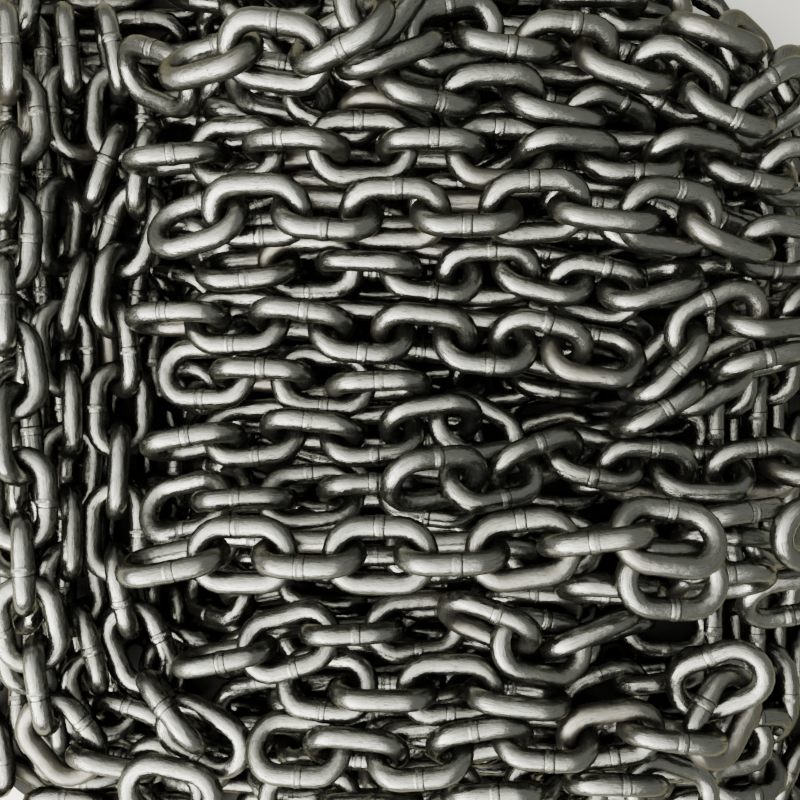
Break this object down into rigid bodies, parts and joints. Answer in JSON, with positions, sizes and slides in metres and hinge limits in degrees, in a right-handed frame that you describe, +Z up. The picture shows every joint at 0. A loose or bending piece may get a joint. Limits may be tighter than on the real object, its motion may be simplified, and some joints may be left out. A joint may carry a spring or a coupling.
{
  "type": "heap of welded link chain",
  "caption": "Loose heap of oily black welded short-link chain: rows of strands over a mound, with a bundle of strands running across them along one side.",
  "frame": {"origin": "on the floor, under the middle of the heap's bounding box", "axes": "+Z up from the floor; the rows of chain run along X, the columns along Y on the -X side"},
  "size_m": [0.4768, 0.476, 0.141],
  "materials": {
    "chain": "black steel, oiled, half gloss, with drawing marks",
    "core": "buried chain in shadow"
  },
  "bodies": {
    "root": {"column_strand_01": "chain", "column_strand_02": "chain", "column_strand_03": "chain", "column_strand_04": "chain", "column_strand_05": "chain", "core": "core", "row_strand_01": "chain", "row_strand_02": "chain", "row_strand_03": "chain", "row_strand_04": "chain", "row_strand_05": "chain", "row_strand_06": "chain", "row_strand_07": "chain", "row_strand_08": "chain", "row_strand_09": "chain", "row_strand_10": "chain", "row_strand_11": "chain", "row_strand_12": "chain", "row_strand_13": "chain", "row_strand_14": "chain", "row_strand_15": "chain", "row_strand_16": "chain", "row_strand_17": "chain", "row_strand_18": "chain", "row_strand_19": "chain", "row_strand_20": "chain", "row_strand_21": "chain", "row_strand_22": "chain", "row_strand_23": "chain", "row_strand_24": "chain"}
  },
  "joints": []
}
